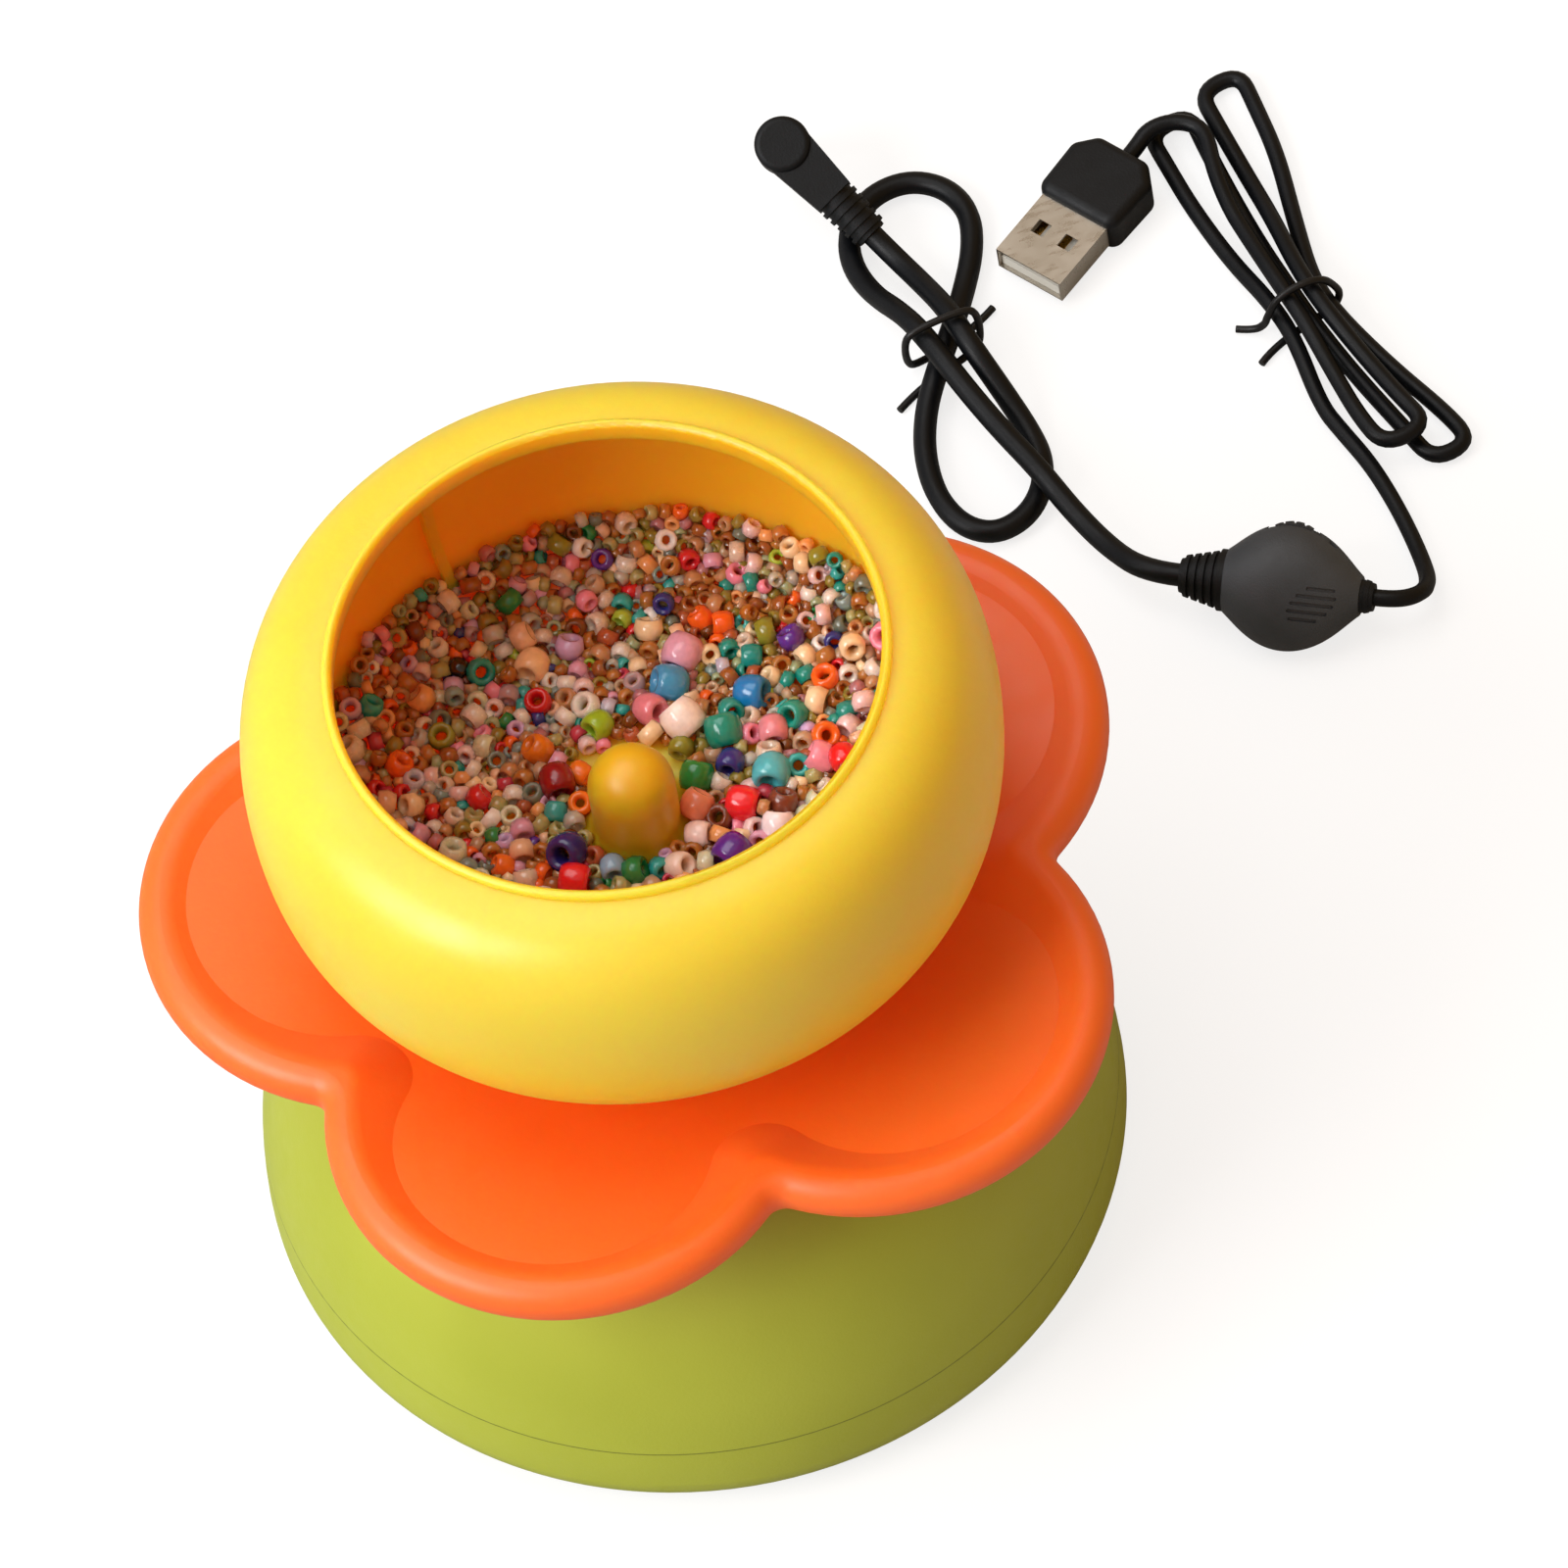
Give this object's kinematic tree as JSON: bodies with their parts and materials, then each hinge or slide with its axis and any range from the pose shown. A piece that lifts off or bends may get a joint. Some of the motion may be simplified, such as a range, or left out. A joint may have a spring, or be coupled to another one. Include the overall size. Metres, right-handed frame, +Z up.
{
  "type": "bead spinner",
  "caption": "Motor-driven bead bowl with a centre post over a petal-shaped tray and a domed base, with an in-line speed controller, a round power plug and a USB lead",
  "frame": {"origin": "on the spin axis, on the underside of the non slip pad, where the base stands on a table", "axes": "+Z up along the spin axis; +Y toward the power socket and one petal tip; the leads lie on the table on the +X +Y side"},
  "size_m": [0.2212, 0.2331, 0.1325],
  "materials": {
    "base_green": "satin moulded plastic",
    "tray_orange": "soft gloss moulded plastic",
    "bowl_yellow": "soft gloss moulded plastic, a little translucent",
    "pad_rubber": "matte",
    "screw_steel": "zinc plated",
    "bush_brass": "machined",
    "shaft_steel": "ground",
    "gear_plastic": "natural acetal",
    "can_steel": "plated",
    "dark_plastic": "satin",
    "frame_plastic": "satin",
    "contact_metal": "nickel plated",
    "contact_gold": "gold flash",
    "wire_red": "satin",
    "cable_black": "soft sheen",
    "tie_black": "satin",
    "controller_grey": "fine texture",
    "board_green": "solder mask",
    "tongue_white": "satin"
  },
  "bodies": {
    "base": {"base_plate": "base_green", "base_shell": "base_green", "case_screws": "screw_steel", "controller_board": "board_green", "controller_inlet_relief": "cable_black", "controller_lower": "controller_grey", "controller_outlet_relief": "cable_black", "controller_upper": "controller_grey", "dc_jack": "dark_plastic", "dc_jack_pin": "contact_metal", "dc_lead": "cable_black", "dc_lead_tie": "tie_black", "dc_plug_barrel": "contact_metal", "dc_plug_body": "cable_black", "dc_strain_relief": "cable_black", "lower_bush": "bush_brass", "motor_can": "can_steel", "motor_end_cap": "dark_plastic", "motor_frame": "frame_plastic", "motor_lead_black": "cable_black", "motor_lead_red": "wire_red", "motor_screws": "screw_steel", "motor_terminals": "bush_brass", "non_slip_pad": "pad_rubber", "petal_tray": "tray_orange", "speed_potentiometer": "contact_metal", "tray_screws": "screw_steel", "upper_bush": "bush_brass", "usb_contacts": "contact_gold", "usb_hank": "cable_black", "usb_lead": "cable_black", "usb_lead_tie": "tie_black", "usb_overmold": "cable_black", "usb_shell": "contact_metal", "usb_tail": "cable_black", "usb_tongue": "tongue_white"},
    "spindle": {"spindle": "shaft_steel", "circlip": "shaft_steel", "thrust_washer": "gear_plastic", "drive_gear": "gear_plastic", "gear_pin": "screw_steel", "drive_hub": "frame_plastic", "hub_screw": "screw_steel"},
    "bowl": {"bowl_lower": "bowl_yellow", "bowl_upper": "bowl_yellow"},
    "motor_rotor": {"motor_shaft": "shaft_steel", "drive_pinion": "gear_plastic"},
    "speed_wheel": {"speed_wheel": "dark_plastic"}
  },
  "joints": [
    {"name": "spindle_spin", "type": "hinge", "parent": "base", "child": "spindle", "pos_m": [0, 0, 0], "axis": [0, 0, 1], "continuous": true},
    {"name": "bowl_lift", "type": "slide", "parent": "spindle", "child": "bowl", "axis": [0, 0, 1], "range_m": [0, 0.014]},
    {"name": "motor_spin", "type": "hinge", "parent": "base", "child": "motor_rotor", "pos_m": [-0.0288, 0, 0], "axis": [0, 0, 1], "continuous": true},
    {"name": "speed_wheel_turn", "type": "hinge", "parent": "base", "child": "speed_wheel", "pos_m": [0.11417, 0.05893, 0.0101], "axis": [-0.2868, -0.4967, 0.8192], "range_deg": [0, 270]}
  ],
  "couplings": [
    {"joint": "motor_spin", "follows": "spindle_spin", "ratio": -5}
  ]
}
